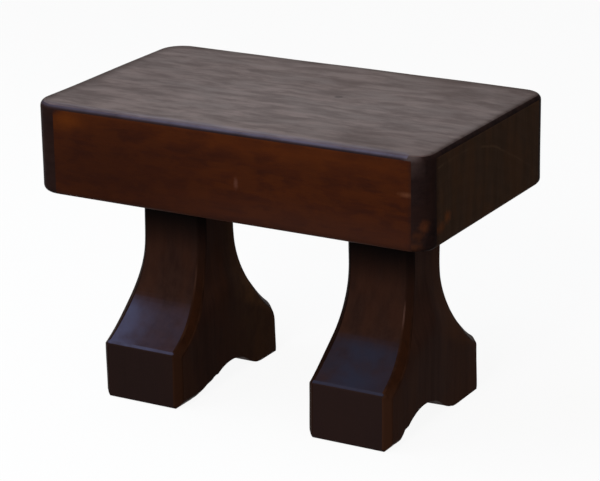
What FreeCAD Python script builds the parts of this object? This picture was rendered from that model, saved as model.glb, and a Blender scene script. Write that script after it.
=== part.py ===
import FreeCAD, Part
import math
import os

# Shoe fitting stool: a thick one-piece seat on two sawn pedestal legs, joined by blind dowels.
# Millimetres. X runs along the seat, Y to the back and Z up.
# The origin is on the floor, under the middle of the seat.

# Seat
seat_length = 420.0
seat_depth = 254.0
seat_thickness = 89.0
seat_left_corner_radius = 27.0
seat_right_corner_radius = 20.0
seat_edge_radius = 6.0

# Legs: a square foot block below, a waist that is hollowed on all four sides, a straight neck above
leg_inset = 52.5
leg_set_forward = 4.0
leg_height = 209.0
foot_width = 88.0
foot_depth = 190.0
foot_front_height = 57.0
neck_width = 70.0
neck_depth = 64.0
neck_height = 54.0
cheek_chamfer = 6.5
foot_front_radius = 3.5
heel_radius = 11.0

# The feet were sawn by hand, so their backs differ in height and in the round shoulder above it
left_foot_back_height = 48.0
right_foot_back_height = 52.0
left_shoulder_radius = 30.0
right_shoulder_radius = 10.0

# Each cheek is planed in from the front and from the back, above two lines that rise to its middle.
# The drop is how far below the top of the foot's front these lines start. The shares are their rise
# for their run, and the lower cheek arc's part of both radii.
cheek_line_drop = 11.0
cheek_draw_length = 56.0
cheek_line_rise_share = 0.466
cheek_bend_share = 0.3

# Arch under each leg, sawn by hand too: the right one is higher and sits further forward,
# and each end of an arch runs out into the sole in a curve of its own.
arch_radius = 58.0
left_arch_rise = 19.5
left_arch_set_forward = -1.0
left_arch_front_end_radius = 60.0
left_arch_back_end_radius = 45.0
right_arch_rise = 24.0
right_arch_set_forward = 23.0
right_arch_front_end_radius = 12.0
right_arch_back_end_radius = 50.0

# Dowels that hold each neck to the seat, glued in blind holes
dowel_diameter = 16.0
dowel_spacing = 30.0
dowel_depth_in_leg = 42.0
dowel_depth_in_seat = 42.0
dowel_chamfer = 1.5
dowel_groove_radius = 1.2
dowel_clearance = 0.1
glue_pocket = 2.0
hole_chamfer = 1.0

# Helpers for cuts and for finding edges
overrun = 5.0
match_tolerance = 0.01

waist_top = leg_height - neck_height
leg_place = seat_length / 2 - leg_inset - foot_width / 2


def straight(start, end):
    return Part.LineSegment(start, end).toShape()


def curved(start, middle, end):
    return Part.Arc(start, middle, end).toShape()


def same(first, second):
    return abs(first - second) < match_tolerance


def edges_where(shape, test):
    return [edge for edge in shape.Edges if test(edge.BoundBox)]


def runs_along_x(box):
    return box.YLength < match_tolerance and box.ZLength < match_tolerance


# The seat: one block, its upright corners well rounded, its rims softened
def make_seat():
    corner = FreeCAD.Vector(-seat_length / 2, -seat_depth / 2, leg_height)
    block = Part.makeBox(seat_length, seat_depth, seat_thickness, corner)
    uprights = edges_where(block, lambda box: same(box.ZLength, seat_thickness))
    left_uprights = [edge for edge in uprights if edge.BoundBox.XMax < 0]
    right_uprights = [edge for edge in uprights if edge.BoundBox.XMin > 0]
    block = block.makeFillet(seat_left_corner_radius, left_uprights)
    block = block.makeFillet(seat_right_corner_radius, right_uprights)
    rims = edges_where(block, lambda box: box.ZLength < match_tolerance)
    return block.makeFillet(seat_edge_radius, rims)


# A point of the leg's side outline
def side_point(y, z):
    return FreeCAD.Vector(-foot_width / 2, y, z)


# A point on a circle in the side outline, at an angle from upright, positive to the back
def on_circle(y, z, radius, angle):
    return side_point(y + radius * math.sin(angle), z + radius * math.cos(angle))


# One end of an arch, back (way 1) or front (way -1): where it meets the sole,
# the angle at which it leaves the crown, and its edge
def arch_end(arch, way, end_radius):
    fall = end_radius - (arch["rise"] - arch_radius)
    reach = math.sqrt((arch_radius + end_radius) ** 2 - fall ** 2)
    turn = way * math.atan2(reach, fall)
    sole_y = way * reach - arch["set_forward"]
    circle = (sole_y, end_radius, -end_radius)
    edge = curved(on_circle(*circle, turn), on_circle(*circle, turn / 2), on_circle(*circle, 0))
    return sole_y, turn, edge


# The crown of an arch, between the angles at which its two ends leave it
def arch_crown(arch, back_turn, front_turn):
    circle = (-arch["set_forward"], arch["rise"] - arch_radius, arch_radius)
    turns = (back_turn, (back_turn + front_turn) / 2, front_turn)
    return curved(*[on_circle(*circle, turn) for turn in turns])


# A round waist, front (way -1) or back (way 1), that meets the neck without a corner
def waist_curve(way, foot_height):
    half_neck = neck_depth / 2
    step = foot_depth / 2 - half_neck
    climb = waist_top - foot_height
    waist_radius = (step ** 2 + climb ** 2) / (2 * step)
    half_turn = math.atan2(step, climb)
    waist_y = half_neck + waist_radius * (1 - math.cos(half_turn))
    waist_z = waist_top - waist_radius * math.sin(half_turn)
    return curved(
        side_point(way * half_neck, waist_top),
        side_point(way * waist_y, waist_z),
        side_point(way * foot_depth / 2, foot_height),
    )


# The leg seen from the side: foot, waist and neck at the front and back, with the arch below
def make_side_block(arch, foot_back_height, shoulder_radius):
    half_foot = foot_depth / 2
    half_neck = neck_depth / 2
    back_sole, back_turn, back_end = arch_end(arch, 1, arch["back_end"])
    front_sole, front_turn, front_end = arch_end(arch, -1, arch["front_end"])

    edges = [
        straight(side_point(-half_foot, 0), side_point(-half_foot, foot_front_height)),
        waist_curve(-1, foot_front_height),
        straight(side_point(-half_neck, waist_top), side_point(-half_neck, leg_height)),
        straight(side_point(-half_neck, leg_height), side_point(half_neck, leg_height)),
        straight(side_point(half_neck, leg_height), side_point(half_neck, waist_top)),
        waist_curve(1, foot_back_height),
        straight(side_point(half_foot, foot_back_height), side_point(half_foot, 0)),
        straight(side_point(half_foot, 0), side_point(back_sole, 0)),
        back_end,
        arch_crown(arch, back_turn, front_turn),
        front_end,
        straight(side_point(front_sole, 0), side_point(-half_foot, 0)),
    ]
    outline = Part.Wire(Part.__sortEdges__(edges))
    block = Part.Face(outline).extrude(FreeCAD.Vector(foot_width, 0, 0))

    def is_shoulder(box):
        return runs_along_x(box) and same(box.YMin, half_foot) and same(box.ZMin, foot_back_height)

    return block.makeFillet(shoulder_radius, edges_where(block, is_shoulder))


# A block with both cheeks as they are planed from one end, front (way 1) or back (way -1).
# Seen along the plane's path, a cheek draws in from the foot's width to the neck's in two arcs:
# the lower one leaves the foot upright, the upper one meets the neck upright, and they turn alike.
def make_cheek_block(way):
    half_foot = foot_width / 2
    half_neck = neck_width / 2
    turn = 2 * math.atan2(half_foot - half_neck, cheek_draw_length)
    both_radii = cheek_draw_length / math.sin(turn)
    lower_radius = both_radii * cheek_bend_share
    upper_radius = both_radii - lower_radius
    bottom = -foot_depth - leg_height
    top = foot_depth + leg_height

    def point(x, height):
        return FreeCAD.Vector(x, 0, height)

    def on_lower(side, angle):
        x = half_foot - lower_radius * (1 - math.cos(angle))
        return point(side * x, lower_radius * math.sin(angle))

    def on_upper(side, angle):
        x = half_neck + upper_radius * (1 - math.cos(angle))
        return point(side * x, cheek_draw_length - upper_radius * math.sin(angle))

    edges = [
        straight(point(-half_foot, bottom), point(half_foot, bottom)),
        straight(point(-half_neck, top), point(half_neck, top)),
    ]
    for side in (-1, 1):
        edges.append(straight(point(side * half_foot, bottom), on_lower(side, 0)))
        edges.append(curved(on_lower(side, 0), on_lower(side, turn / 2), on_lower(side, turn)))
        edges.append(curved(on_upper(side, turn), on_upper(side, turn / 2), on_upper(side, 0)))
        edges.append(straight(on_upper(side, 0), point(side * half_neck, top)))
    outline = Part.Wire(Part.__sortEdges__(edges))
    path_length = 2 * (foot_depth + leg_height)
    block = Part.Face(outline).extrude(FreeCAD.Vector(0, path_length, 0))
    block.translate(FreeCAD.Vector(0, -path_length / 2, 0))
    tilt = math.degrees(math.atan(cheek_line_rise_share))
    block.rotate(FreeCAD.Vector(0, 0, 0), FreeCAD.Vector(1, 0, 0), way * tilt)
    block.translate(FreeCAD.Vector(0, -way * foot_depth / 2, foot_front_height - cheek_line_drop))
    return block


# Eases the leg: planes off the upright edges round both cheeks, then rounds the foot's ends
def ease_leg(leg, arch):
    half_foot = foot_depth / 2

    def is_cheek_edge(edge):
        box = edge.BoundBox
        faces = [face.BoundBox for face in leg.ancestorsOfType(edge, Part.Face)]
        on_outline = box.XMin * box.XMax > 0 and any(face.XMin * face.XMax < 0 for face in faces)
        under_arch = box.ZMax < arch["rise"] + match_tolerance
        on_top = same(box.ZMin, leg_height)
        return on_outline and not under_arch and not on_top

    def is_foot_front(box):
        level = same(box.ZMin, 0) or same(box.ZMin, foot_front_height)
        return runs_along_x(box) and level and same(box.YMin, -half_foot)

    def is_heel(box):
        return runs_along_x(box) and same(box.ZMin, 0) and same(box.YMin, half_foot)

    leg = leg.makeChamfer(cheek_chamfer, [edge for edge in leg.Edges if is_cheek_edge(edge)])
    leg = leg.makeFillet(foot_front_radius, edges_where(leg, is_foot_front))
    leg = leg.makeFillet(heel_radius, edges_where(leg, is_heel))
    return leg.Solids[0]


def make_leg(arch, foot_back_height, shoulder_radius):
    leg = make_side_block(arch, foot_back_height, shoulder_radius)
    for way in (1, -1):
        leg = leg.common(make_cheek_block(way))
    return ease_leg(leg.removeSplitter(), arch)


# Both dowels stand in the middle of the neck
def dowel_places():
    return [-leg_set_forward - dowel_spacing / 2, -leg_set_forward + dowel_spacing / 2]


# A glued dowel: chamfered at both ends, with one groove along it that lets the glue out
def make_dowel(x, y):
    length = dowel_depth_in_leg + dowel_depth_in_seat
    foot = FreeCAD.Vector(x, y, leg_height - dowel_depth_in_leg)
    dowel = Part.makeCylinder(dowel_diameter / 2, length, foot)
    ends = edges_where(dowel, lambda box: box.ZLength < match_tolerance)
    dowel = dowel.makeChamfer(dowel_chamfer, ends)
    groove_foot = FreeCAD.Vector(x + dowel_diameter / 2, y, leg_height - dowel_depth_in_leg - overrun)
    groove = Part.makeCylinder(dowel_groove_radius, length + 2 * overrun, groove_foot)
    return dowel.cut(groove)


# The hole for one dowel, from the joint into the leg (way -1) or into the seat (way 1)
def make_dowel_hole(x, y, depth, way):
    radius = dowel_diameter / 2 + dowel_clearance
    mouth = FreeCAD.Vector(x, y, leg_height)
    inward = FreeCAD.Vector(0, 0, way)
    bore = Part.makeCylinder(radius, depth + glue_pocket, mouth, inward)
    flare = Part.makeCone(radius + hole_chamfer, radius, hole_chamfer, mouth, inward)
    return bore.fuse(flare)


os.makedirs("parts", exist_ok=True)

seat = make_seat()
arches = {
    "left": {
        "rise": left_arch_rise,
        "set_forward": left_arch_set_forward,
        "front_end": left_arch_front_end_radius,
        "back_end": left_arch_back_end_radius,
    },
    "right": {
        "rise": right_arch_rise,
        "set_forward": right_arch_set_forward,
        "front_end": right_arch_front_end_radius,
        "back_end": right_arch_back_end_radius,
    },
}
foot_backs = {
    "left": (left_foot_back_height, left_shoulder_radius),
    "right": (right_foot_back_height, right_shoulder_radius),
}
sides = {"left": -1, "right": 1}

for name, side in sides.items():
    middle = side * leg_place
    leg = make_leg(arches[name], *foot_backs[name])
    leg.translate(FreeCAD.Vector(middle, -leg_set_forward, 0))
    dowels = []
    for place in dowel_places():
        leg = leg.cut(make_dowel_hole(middle, place, dowel_depth_in_leg, -1))
        seat = seat.cut(make_dowel_hole(middle, place, dowel_depth_in_seat, 1))
        dowels.append(make_dowel(middle, place))
    leg.exportStep("parts/" + name + "_leg.step")
    Part.makeCompound(dowels).exportStep("parts/" + name + "_leg_dowels.step")

seat.exportStep("parts/seat_slab.step")
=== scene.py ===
"""Looks of a shoe fitting stool: a thick waxed seat on two sawn pedestal legs.

Metres. X runs along the seat, Y to the back and Z up. The floor is at Z = 0.
"""

import logging
import math
from collections.abc import Callable
from dataclasses import dataclass, field
from enum import Enum
from typing import Any

import bmesh
import bpy
from mathutils import Matrix, Vector, noise


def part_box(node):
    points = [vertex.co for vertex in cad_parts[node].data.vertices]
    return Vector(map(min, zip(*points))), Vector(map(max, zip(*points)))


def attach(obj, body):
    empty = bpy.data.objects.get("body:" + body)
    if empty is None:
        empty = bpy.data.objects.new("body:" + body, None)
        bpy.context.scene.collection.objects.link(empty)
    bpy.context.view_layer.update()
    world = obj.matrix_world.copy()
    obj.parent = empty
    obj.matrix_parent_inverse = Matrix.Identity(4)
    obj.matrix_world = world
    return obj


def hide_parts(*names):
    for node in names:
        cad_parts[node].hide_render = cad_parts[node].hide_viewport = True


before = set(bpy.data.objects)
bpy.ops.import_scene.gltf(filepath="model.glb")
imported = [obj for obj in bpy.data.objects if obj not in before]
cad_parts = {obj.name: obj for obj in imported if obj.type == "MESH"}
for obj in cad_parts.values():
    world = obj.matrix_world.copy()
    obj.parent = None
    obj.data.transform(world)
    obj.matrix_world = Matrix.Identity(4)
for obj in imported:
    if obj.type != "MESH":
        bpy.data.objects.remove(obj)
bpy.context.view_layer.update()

BODY = "root"
TOLERANCE = 1e-5
SHARP_ANGLE = math.radians(40)

# A mark's reach along an axis that doesn't bound it
EVERYWHERE = 9.0

# Points this close to a joint or a sole stay flat
HELD_MARGIN = 0.001

report = logging.getLogger("stool")

Triple = tuple[float, float, float]
Colour = Triple
Socket = bpy.types.NodeSocket
Value = Socket | float | Triple


def shade(red: int, green: int, blue: int) -> Colour:
    """Turns a colour as it is seen on a screen into the linear values that shaders take.

    Args:
        red: Red from 0 to 255.
        green: Green from 0 to 255.
        blue: Blue from 0 to 255.

    Returns:
        The three linear values.
    """

    def linear(value: int) -> float:
        """Undoes the screen's curve for one value."""
        share = value / 255
        return share / 12.92 if share <= 0.04045 else ((share + 0.055) / 1.055) ** 2.4

    return (linear(red), linear(green), linear(blue))


def near(first: float, second: float) -> bool:
    """Tells whether two sizes are the same but for rounding."""
    return abs(first - second) < TOLERANCE


def clamp(value: float, low: float = 0.0, high: float = 1.0) -> float:
    """Holds a value between two limits."""
    return min(max(value, low), high)


def smooth(share: float) -> float:
    """Eases a share in and out, and holds it between 0 and 1."""
    held = clamp(share)
    return held * held * (3 - 2 * held)


class Side(Enum):
    """The side of the stool that a leg stands on."""

    LEFT = "left"
    RIGHT = "right"


class Grain(Enum):
    """The axis that the fibres of a piece of timber run along."""

    ALONG_SEAT = "x"
    UPRIGHT = "z"


class Bench:
    """The nodes of a material or of the world, added one by one and joined as they are added."""

    def __init__(self, owner: bpy.types.Material | bpy.types.World) -> None:
        """Starts without nodes.

        Args:
            owner: The material or world that the nodes are for.
        """
        owner.use_nodes = True
        self.owner = owner
        self.tree = owner.node_tree
        self.tree.nodes.clear()

    def node(self, kind: str, inputs: dict[str | int, Value], **settings: str) -> bpy.types.Node:
        """Adds a node.

        Args:
            kind: The node's type, without its ShaderNode prefix.
            inputs: A value or another node's output for each named or numbered input.
            **settings: The node's own settings.

        Returns:
            The new node.
        """
        made = self.tree.nodes.new("ShaderNode" + kind)
        for name, value in settings.items():
            setattr(made, name, value)
        for name, value in inputs.items():
            if isinstance(value, Socket):
                self.tree.links.new(value, made.inputs[name])
            elif made.inputs[name].type == "RGBA":
                made.inputs[name].default_value = (*value, 1.0)
            else:
                made.inputs[name].default_value = value
        return made

    def math(self, operation: str, first: Value, second: Value = 0.0, third: Value = 0.0) -> Socket:
        """Joins two or three numbers by an operation and returns the result."""
        return self.node("Math", {0: first, 1: second, 2: third}, operation=operation).outputs[0]

    def vector(self, operation: str, first: Value, second: Value) -> Socket:
        """Joins two vectors by an operation and returns the resulting vector."""
        return self.node("VectorMath", {0: first, 1: second}, operation=operation).outputs[0]

    def length(self, vector: Value) -> Socket:
        """Returns the length of a vector."""
        return self.node("VectorMath", {0: vector}, operation="LENGTH").outputs["Value"]

    def fade(self, value: Value, low: float, high: float) -> Socket:
        """Turns a number into a smooth share, 0 at the first limit and 1 at the second."""
        inputs = {"Value": value, "From Min": low, "From Max": high}
        return self.node("MapRange", inputs, interpolation_type="SMOOTHSTEP").outputs["Result"]

    def blend(self, share: Value, first: Value, second: Value) -> Socket:
        """Mixes two colours by the second one's share."""
        return self.node("Mix", {0: share, 6: first, 7: second}, data_type="RGBA").outputs[2]

    def place(self) -> Socket:
        """Returns the place on the stool, which is what every pattern follows."""
        return self.node("TexCoord", {}).outputs["Object"]

    def stretched(self, place: Socket, scale: Triple) -> Socket:
        """Returns the place, scaled along each axis."""
        return self.node("Mapping", {"Vector": place, "Scale": scale}).outputs["Vector"]

    def bent(self, place: Socket, reach: float) -> Socket:
        """Pushes the place about by a slow noise, so that straight patterns sway.

        Args:
            place: The place.
            reach: How far it may be pushed.

        Returns:
            The pushed place.
        """
        slow = self.node("TexNoise", {"Vector": place, "Scale": 16.0, "Detail": 2.0}).outputs["Color"]
        push = self.vector("SUBTRACT", slow, (0.5, 0.5, 0.5))
        scaled = self.node("VectorMath", {0: push, "Scale": reach * 2}, operation="SCALE").outputs[0]
        return self.vector("ADD", place, scaled)

    def clouds(self, place: Socket, scale: float, detail: float = 4.0, rough: float = 0.5) -> Socket:
        """Returns a noise of about 0.5 on average, its scale in clouds to a metre."""
        inputs = {"Vector": place, "Scale": scale, "Detail": detail, "Roughness": rough}
        return self.node("TexNoise", inputs).outputs["Fac"]

    def attribute(self, name: str) -> Socket:
        """Returns a number that the mesh carries at its points."""
        return self.node("Attribute", {}, attribute_name=name).outputs["Fac"]

    def backdrop_rays(self) -> Socket:
        """Picks the rays that show the pale background: the camera's, the gloss's and those through glass.

        Returns:
            1 for these rays and 0 for those that only light the stool.
        """
        path = self.node("LightPath", {}).outputs
        seen = self.math("MAXIMUM", path["Is Camera Ray"], path["Is Glossy Ray"])
        return self.math("MAXIMUM", seen, path["Is Transmission Ray"])

    def finish(self, inputs: dict[str | int, Value]) -> bpy.types.Material:
        """Ends the material with a surface shader.

        Args:
            inputs: What the shader's inputs get.

        Returns:
            The finished material.
        """
        surface = self.node("BsdfPrincipled", inputs)
        self.node("OutputMaterial", {"Surface": surface.outputs["BSDF"]})
        return self.owner


@dataclass(frozen=True)
class Mark:
    """A place where the finish looks different: a knock, a scratch, a stained or worn patch, or painted light
    or shade.

    Attributes:
        place: Its middle.
        reach: How far it reaches along each axis.
        colour: What it shows.
        share: How strongly it shows.
        softness: How wide its edge is, as a share of its reach.
        raggedness: How far its edge wanders, as a share of its reach.
        grit: How many bites to a metre its edge has.
        dulling: How much of the gloss it takes away.
    """

    place: Triple
    reach: Triple
    colour: Colour
    share: float = 1.0
    softness: float = 0.6
    raggedness: float = 0.9
    grit: float = 420.0
    dulling: float = 0.0

    def shown(self, bench: Bench, place: Socket) -> Socket:
        """Draws the mark.

        Args:
            bench: The material's nodes.
            place: Where the pattern is read.

        Returns:
            How much of it shows, from 0 to 1.
        """
        offset = bench.vector("SUBTRACT", place, self.place)
        distance = bench.length(bench.vector("DIVIDE", offset, self.reach))
        ragged = bench.math("MULTIPLY_ADD", bench.clouds(place, self.grit, 3.0), self.raggedness, distance)
        edge = 1 + self.raggedness / 2
        inside = bench.fade(ragged, edge + self.softness / 2, edge - self.softness / 2)
        return bench.math("MULTIPLY", inside, self.share)


@dataclass(frozen=True)
class TimberFinish:
    """Stained and waxed timber, cut from a log whose rings and fibres run right through the piece.

    Attributes:
        name: The material's name.
        log: The axis that the log's length runs along.
        light: The palest wood.
        dark: The darkest streaks.
        patch: The colour of broad patches.
        patch_share: How strong the patches are.
        patch_fit: How many patches to a metre, along and across the streaks.
        streaks: The axis that the streaks run along, if not the log's.
        streak_fit: How many streaks to a metre, along and across.
        streak_share: How strong the streaks are.
        sway: How far the streaks wander from their axis.
        pith: A point on the axis of the log, which lies outside the piece.
        ring_gap: The distance between two growth rings.
        ring_share: How strong the rings are.
        pale_ring: The radius of one paler ring, if the piece shows one.
        worn: The colour of the pale ring, and of the painted light where the mesh marks it.
        painted_light_share: How strongly the painted light shows where the mesh marks it.
        painted_sheen: The colour of a painted sheen, a painted reflection of bright light from above, where
            the mesh marks it.
        painted_sheen_share: How strong the painted sheen is where the mesh marks it.
        gloss: The specular level.
        gloss_wander: How far the gloss changes with the streaks, as a share.
        roughness: The surface's roughness between the streaks.
        relief: How deep the grain is.
        marks: Knocks, scratches and stains.
    """

    name: str
    log: Grain
    light: Colour
    dark: Colour
    patch: Colour
    patch_share: float = 0.4
    patch_fit: tuple[float, float] = (14.0, 34.0)
    streaks: Grain | None = None
    streak_fit: tuple[float, float] = (9.0, 130.0)
    streak_share: float = 0.8
    sway: float = 0.003
    pith: Triple = (0.0, -0.081, -0.016)
    ring_gap: float = 0.006
    ring_share: float = 0.25
    pale_ring: float | None = None
    worn: Colour = shade(96, 56, 34)
    painted_light_share: float = 0.0
    painted_sheen: Colour = shade(95, 97, 130)
    painted_sheen_share: float = 0.0
    gloss: float = 0.5
    gloss_wander: float = 0.0
    roughness: float = 0.45
    relief: float = 0.00025
    marks: tuple[Mark, ...] = ()

    # Where each noise starts to show and where all of it shows
    STREAK_LIMITS = (0.38, 0.66)
    PATCH_LIMITS = (0.40, 0.62)
    PORE_LIMITS = (0.60, 0.72)
    PAINTED_LIGHT_LIMITS = (0.30, 0.62)
    PAINTED_SHEEN_LIMITS = (0.15, 0.65)
    PALE_RING_BREAKS = (0.35, 0.6)

    # How many clouds to a metre, where two along and across the streaks
    PORE_FIT = (70.0, 1100.0)
    RING_FIT = (4.0, 9.0)
    PALE_RING_CLOUDS = 40.0
    PAINTED_LIGHT_CLOUDS = 70.0
    PAINTED_SHEEN_CLOUDS = 60.0
    SPECKLE_CLOUDS = 900.0

    # A growth ring: the share of it where its late wood starts and where that is darkest
    LATE_WOOD_SHARES = (0.15, 0.85)
    RING_SWAY = 0.016
    PALE_RING_EDGE = (0.0018, 0.0002)

    # How strong each layer is
    PALE_RING_SHARE = 0.4
    PORE_SHARE = 0.35
    ROUGHNESS_RANGE = 0.22
    SPECKLE_SHARE = 0.25
    GRAIN_SHARE = 0.8
    BUMP_STRENGTH = 0.8

    def fibres(self, along: float, across: float) -> Triple:
        """Returns the scales that stretch a pattern along the streaks."""
        return {
            Grain.ALONG_SEAT: (along, across, across),
            Grain.UPRIGHT: (across, across, along),
        }[self.streaks or self.log]

    def ring_radius(self, bench: Bench, place: Socket) -> Socket:
        """Measures how far a place lies from the log's axis.

        Args:
            bench: The material's nodes.
            place: The place.

        Returns:
            The distance, which sways a little, as a tree grows.
        """
        across_log = {Grain.ALONG_SEAT: (0.0, 1.0, 1.0), Grain.UPRIGHT: (1.0, 1.0, 0.0)}[self.log]
        from_pith = bench.vector("SUBTRACT", place, self.pith)
        radius = bench.length(bench.vector("MULTIPLY", from_pith, across_log))
        sway = bench.clouds(bench.stretched(place, self.fibres(*self.RING_FIT)), 1.0, detail=3.0)
        return bench.math("MULTIPLY_ADD", bench.math("SUBTRACT", sway, 0.5), self.RING_SWAY, radius)

    def wood(self, bench: Bench, place: Socket, streak: Socket) -> Socket:
        """Colours the wood itself, with its streaks, rings, patches and pores.

        Args:
            bench: The material's nodes.
            place: Where the patterns are read.
            streak: The share of dark streaks.

        Returns:
            The colour.
        """
        colour = bench.blend(bench.math("MULTIPLY", streak, self.streak_share), self.light, self.dark)
        radius = self.ring_radius(bench, place)
        years = bench.math("FRACT", bench.math("DIVIDE", radius, self.ring_gap))
        early, late = self.LATE_WOOD_SHARES
        late_wood = bench.math("SUBTRACT", bench.fade(years, early, late), bench.fade(years, late, 1.0))
        colour = bench.blend(bench.math("MULTIPLY", late_wood, self.ring_share), colour, self.dark)
        if self.pale_ring is not None:
            off = bench.math("ABSOLUTE", bench.math("SUBTRACT", radius, self.pale_ring))
            gaps = bench.clouds(place, self.PALE_RING_CLOUDS, detail=2.0)
            broken = bench.fade(gaps, *self.PALE_RING_BREAKS)
            pale = bench.math("MULTIPLY", bench.fade(off, *self.PALE_RING_EDGE), broken)
            colour = bench.blend(bench.math("MULTIPLY", pale, self.PALE_RING_SHARE), colour, self.worn)
        broad = bench.stretched(place, self.fibres(*self.patch_fit))
        clouds = bench.clouds(broad, 1.0, detail=3.0, rough=0.55)
        patches = bench.math("MULTIPLY", bench.fade(clouds, *self.PATCH_LIMITS), self.patch_share)
        colour = bench.blend(patches, colour, self.patch)
        holes = bench.clouds(bench.stretched(place, self.fibres(*self.PORE_FIT)), 1.0, detail=2.0)
        pores = bench.math("MULTIPLY", bench.fade(holes, *self.PORE_LIMITS), self.PORE_SHARE)
        return bench.blend(pores, colour, self.dark)

    def uneven(self, bench: Bench, layer: str, clouds: Socket, limits: tuple[float, float]) -> Socket:
        """Breaks up a layer that the mesh carries, down to half its strength.

        Args:
            bench: The material's nodes.
            layer: The layer's name.
            clouds: The noise that breaks it up.
            limits: Where the noise leaves half of it and all of it.

        Returns:
            The share of the layer that shows.
        """
        kept = bench.math("MULTIPLY_ADD", bench.fade(clouds, *limits), 0.5, 0.5)
        return bench.math("MULTIPLY", bench.attribute(layer), kept)

    def material(self) -> bpy.types.Material:
        """Builds the material.

        Returns:
            The finished material.
        """
        bench = Bench(bpy.data.materials.new(self.name))
        place = bench.place()
        swayed = bench.bent(place, self.sway)
        drawn = bench.stretched(swayed, self.fibres(*self.streak_fit))
        grain = bench.clouds(drawn, 1.0, detail=6.0, rough=0.62)
        streak = bench.fade(grain, *self.STREAK_LIMITS)
        colour = self.wood(bench, swayed, streak)
        wander = self.gloss * self.gloss_wander
        gloss = bench.math("MULTIPLY_ADD", streak, -wander, self.gloss + wander / 2)

        # Painted light: the worn colour laid in where the mesh marks it
        if self.painted_light_share > 0:
            breaks = bench.clouds(place, self.PAINTED_LIGHT_CLOUDS, detail=5.0, rough=0.65)
            painted_light = self.uneven(bench, "painted_light_share", breaks, self.PAINTED_LIGHT_LIMITS)
            colour = bench.blend(bench.math("MULTIPLY", painted_light, self.painted_light_share), colour, self.worn)
        for mark in self.marks:
            shown = mark.shown(bench, place)
            colour = bench.blend(shown, colour, mark.colour)
            if mark.dulling > 0:
                kept = bench.math("MULTIPLY_ADD", shown, -mark.dulling / mark.share, 1.0)
                gloss = bench.math("MULTIPLY", gloss, kept)
        # Painted reflection: the sheen's colour is laid into the wood where the mesh marks it
        if self.painted_sheen_share > 0:
            breaks = bench.clouds(place, self.PAINTED_SHEEN_CLOUDS)
            share = self.uneven(bench, "painted_sheen", breaks, self.PAINTED_SHEEN_LIMITS)
            colour = bench.blend(bench.math("MULTIPLY", share, self.painted_sheen_share), colour, self.painted_sheen)

        least_rough = self.roughness - self.ROUGHNESS_RANGE / 2
        speckle = bench.clouds(place, self.SPECKLE_CLOUDS, detail=2.0)
        fibre = bench.math("MULTIPLY", grain, self.GRAIN_SHARE)
        height = bench.math("MULTIPLY_ADD", speckle, self.SPECKLE_SHARE, fibre)
        inputs = {"Height": height, "Distance": self.relief, "Strength": self.BUMP_STRENGTH}
        bump = bench.node("Bump", inputs)
        return bench.finish(
            {
                "Base Color": colour,
                "Roughness": bench.math("MULTIPLY_ADD", grain, self.ROUGHNESS_RANGE, least_rough),
                "Normal": bump.outputs["Normal"],
                "Specular IOR Level": gloss,
            }
        )


@dataclass
class Blank:
    """A block of wood in the making, and the tools that shape it."""

    mesh: bmesh.types.BMesh = field(default_factory=bmesh.new)

    def rule(self, low: Vector, high: Vector, margin: float, step: float) -> None:
        """Rules the surface with level cuts along X, Y and Z, which leave its shape as it is.

        Args:
            low: The block's low corner.
            high: Its high corner.
            margin: How far inside the corners the cuts start and end.
            step: The distance between two cuts.
        """
        for axis in (Vector((1, 0, 0)), Vector((0, 1, 0)), Vector((0, 0, 1))):
            start = axis.dot(low) + margin
            stop = axis.dot(high) - margin
            count = max(1, round((stop - start) / step))
            for number in range(count + 1):
                geometry = [*self.mesh.verts, *self.mesh.edges, *self.mesh.faces]
                at = axis * (start + (stop - start) * number / count)
                bmesh.ops.bisect_plane(self.mesh, geom=geometry, dist=TOLERANCE, plane_co=at, plane_no=axis)

    def round_edges(self, edges: list[bmesh.types.BMEdge], radius: float, segments: int) -> list:
        """Rounds edges.

        Args:
            edges: The edges.
            radius: The radius of the rounding.
            segments: How many strips it has.

        Returns:
            The faces of the rounding.
        """
        done = bmesh.ops.bevel(
            self.mesh,
            geom=edges,
            offset=radius,
            offset_type="OFFSET",
            segments=segments,
            profile=0.5,
            affect="EDGES",
            clamp_overlap=False,
            material=-1,
        )
        return done["faces"]

    def roughen(self, depth: float, wavelength: float, seed: float, held: Callable[[Vector], bool]) -> None:
        """Gives the surface the slight waves that hand work leaves.

        Args:
            depth: How far a point may move.
            wavelength: The distance between two waves.
            seed: A shift that makes this piece's waves its own.
            held: Tells of a point whether it stays where it is.
        """
        self.mesh.normal_update()
        shift = Vector((seed, seed * 2, seed * 3))
        moves = []
        for vert in self.mesh.verts:
            if not held(vert.co):
                wave = noise.noise(vert.co / wavelength + shift)
                moves.append((vert, vert.normal * wave * depth))
        for vert, move in moves:
            vert.co += move

    def into_piece(self, name: str, materials: list[bpy.types.Material]) -> bpy.types.Object:
        """Ends the work on the block.

        Args:
            name: The piece's name.
            materials: Its finishes, in the order of its faces' numbers.

        Returns:
            The piece, at the origin, with its place in its mesh.
        """
        bmesh.ops.recalc_face_normals(self.mesh, faces=self.mesh.faces)
        for face in self.mesh.faces:
            face.smooth = True
        data = bpy.data.meshes.new(name)
        self.mesh.to_mesh(data)
        self.mesh.free()
        for material in materials:
            data.materials.append(material)
        data.set_sharp_from_angle(angle=SHARP_ANGLE)
        piece = bpy.data.objects.new(name, data)
        bpy.context.scene.collection.objects.link(piece)
        even = piece.modifiers.new("even_shading", "WEIGHTED_NORMAL")
        even.keep_sharp = True
        return piece


def seat_piece(piece: bpy.types.Object, node: str) -> None:
    """Sets a finished piece in the frame, in place of a plain node.

    Args:
        piece: The piece.
        node: The node that it stands for.
    """
    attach(piece, BODY)
    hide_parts(node)
    report.info("%s: %d faces, stands for %s", piece.name, len(piece.data.polygons), node)


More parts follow.
